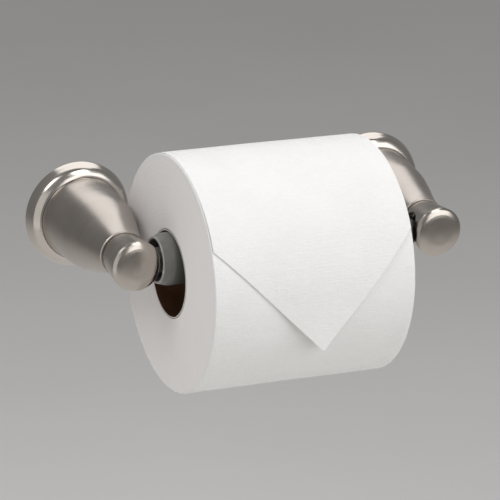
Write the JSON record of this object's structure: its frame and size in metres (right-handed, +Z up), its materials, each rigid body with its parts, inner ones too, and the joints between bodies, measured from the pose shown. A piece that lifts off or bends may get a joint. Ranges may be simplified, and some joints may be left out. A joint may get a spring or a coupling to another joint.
{
  "type": "toilet paper holder",
  "caption": "Wall-mounted toilet paper holder with two flanged posts, a spring-loaded telescoping roller and a paper roll with a pointed fold.",
  "frame": {"origin": "on the wall plane, midway between the two post axes, at the height of the post axes", "axes": "+X along the roller from the left post to the right post, +Y into the wall, +Z up"},
  "size_m": [0.2108, 0.1514, 0.1152],
  "materials": {
    "satin_nickel": "finely brushed satin nickel",
    "polished_nickel": "smooth satin-polished nickel",
    "zinc_plate": "zinc plated steel",
    "screw_steel": "zinc plated screw steel",
    "black_oxide": "black oxide alloy steel",
    "nylon": "natural nylon",
    "grey_plastic": "moulded grey plastic, slightly satin",
    "spring_steel": "bright drawn spring wire",
    "cardboard": "spiral wound brown board",
    "paper": "soft white embossed tissue"
  },
  "bodies": {
    "posts": {"left_wall_bracket": "zinc_plate", "left_upper_wall_screw": "screw_steel", "left_lower_wall_screw": "screw_steel", "left_upper_wall_anchor": "nylon", "left_lower_wall_anchor": "nylon", "left_flange": "polished_nickel", "left_post": "satin_nickel", "left_set_screw": "black_oxide", "left_hub": "polished_nickel", "left_hub_screw": "screw_steel", "right_wall_bracket": "zinc_plate", "right_upper_wall_screw": "screw_steel", "right_lower_wall_screw": "screw_steel", "right_upper_wall_anchor": "nylon", "right_lower_wall_anchor": "nylon", "right_flange": "polished_nickel", "right_post": "satin_nickel", "right_set_screw": "black_oxide", "right_hub": "polished_nickel", "right_hub_screw": "screw_steel"},
    "roller_outer": {"roller_outer_tube": "grey_plastic", "roller_left_pivot": "grey_plastic", "roller_spring": "spring_steel"},
    "roller_inner": {"roller_inner_tube": "grey_plastic", "roller_right_pivot": "grey_plastic"},
    "paper_roll": {"paper_core": "cardboard", "paper_roll": "paper", "paper_tail": "paper"}
  },
  "joints": [
    {"name": "roller_spin", "type": "hinge", "parent": "posts", "child": "roller_outer", "pos_m": [0, -0.07, -0.0015], "axis": [1, 0, 0], "continuous": true},
    {"name": "roller_squeeze", "type": "slide", "parent": "roller_outer", "child": "roller_inner", "axis": [-1, 0, 0], "range_m": [0, 0.012], "stiffness_N_per_m": 400, "springref_m": -0.02, "deforming": ["roller_spring"]},
    {"name": "paper_unroll", "type": "hinge", "parent": "posts", "child": "paper_roll", "pos_m": [-0.0075, -0.07, -0.00916], "axis": [1, 0, 0], "continuous": true}
  ]
}
